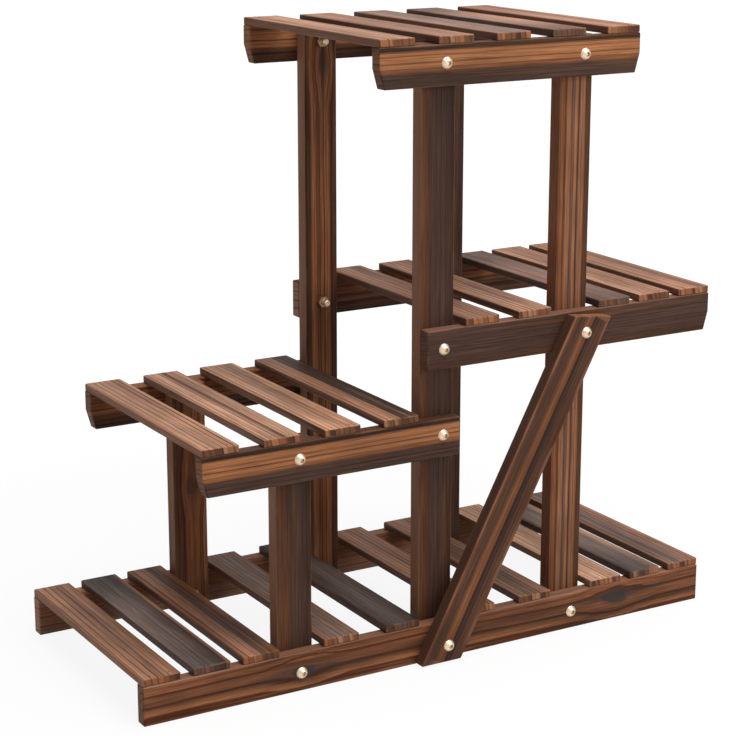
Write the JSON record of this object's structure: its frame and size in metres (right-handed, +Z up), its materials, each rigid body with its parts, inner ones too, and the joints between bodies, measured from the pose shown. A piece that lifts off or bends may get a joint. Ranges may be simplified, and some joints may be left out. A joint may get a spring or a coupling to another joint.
{
  "type": "plant stand",
  "caption": "Free-standing wooden plant stand: stepped slatted shelves on bolted posts with a diagonal front brace, for potted plants at different heights.",
  "frame": {"origin": "on the floor, in the middle of the box around the whole stand; the centre posts stand at X = 0", "axes": "+X to the right along the shelves, towards the higher side shelf, +Y to the back, +Z up"},
  "size_m": [0.6, 0.2717, 0.571],
  "materials": {
    "rail_wood": "burnt and stained pine, semi-matte",
    "post_wood": "burnt and stained pine, semi-matte",
    "slat_wood": "burnt and stained pine, semi-matte",
    "brace_wood": "burnt and stained pine, semi-matte",
    "plated_bolts": "satin yellow plating",
    "brads": "dark steel"
  },
  "bodies": {
    "root": {"base_brads": "brads", "base_front_rail": "rail_wood", "base_rear_rail": "rail_wood", "base_slat_1": "slat_wood", "base_slat_10": "slat_wood", "base_slat_2": "slat_wood", "base_slat_3": "slat_wood", "base_slat_4": "slat_wood", "base_slat_5": "slat_wood", "base_slat_6": "slat_wood", "base_slat_7": "slat_wood", "base_slat_8": "slat_wood", "base_slat_9": "slat_wood", "bolt_nuts": "plated_bolts", "brace_bolts": "plated_bolts", "centre_post_front": "post_wood", "centre_post_rear": "post_wood", "diagonal_brace": "brace_wood", "left_shelf_brads": "brads", "left_shelf_front_rail": "rail_wood", "left_shelf_rear_rail": "rail_wood", "left_shelf_slat_1": "slat_wood", "left_shelf_slat_2": "slat_wood", "left_shelf_slat_3": "slat_wood", "left_shelf_slat_4": "slat_wood", "rail_bolts": "plated_bolts", "right_post_front": "post_wood", "right_post_rear": "post_wood", "right_shelf_brads": "brads", "right_shelf_front_rail": "rail_wood", "right_shelf_rear_rail": "rail_wood", "right_shelf_slat_1": "slat_wood", "right_shelf_slat_2": "slat_wood", "right_shelf_slat_3": "slat_wood", "right_shelf_slat_4": "slat_wood", "right_shelf_slat_5": "slat_wood", "short_post_front": "post_wood", "short_post_rear": "post_wood", "top_shelf_brads": "brads", "top_shelf_front_rail": "rail_wood", "top_shelf_rear_rail": "rail_wood", "top_shelf_slat_1": "slat_wood", "top_shelf_slat_2": "slat_wood", "top_shelf_slat_3": "slat_wood", "top_shelf_slat_4": "slat_wood", "top_shelf_slat_5": "slat_wood"}
  },
  "joints": []
}
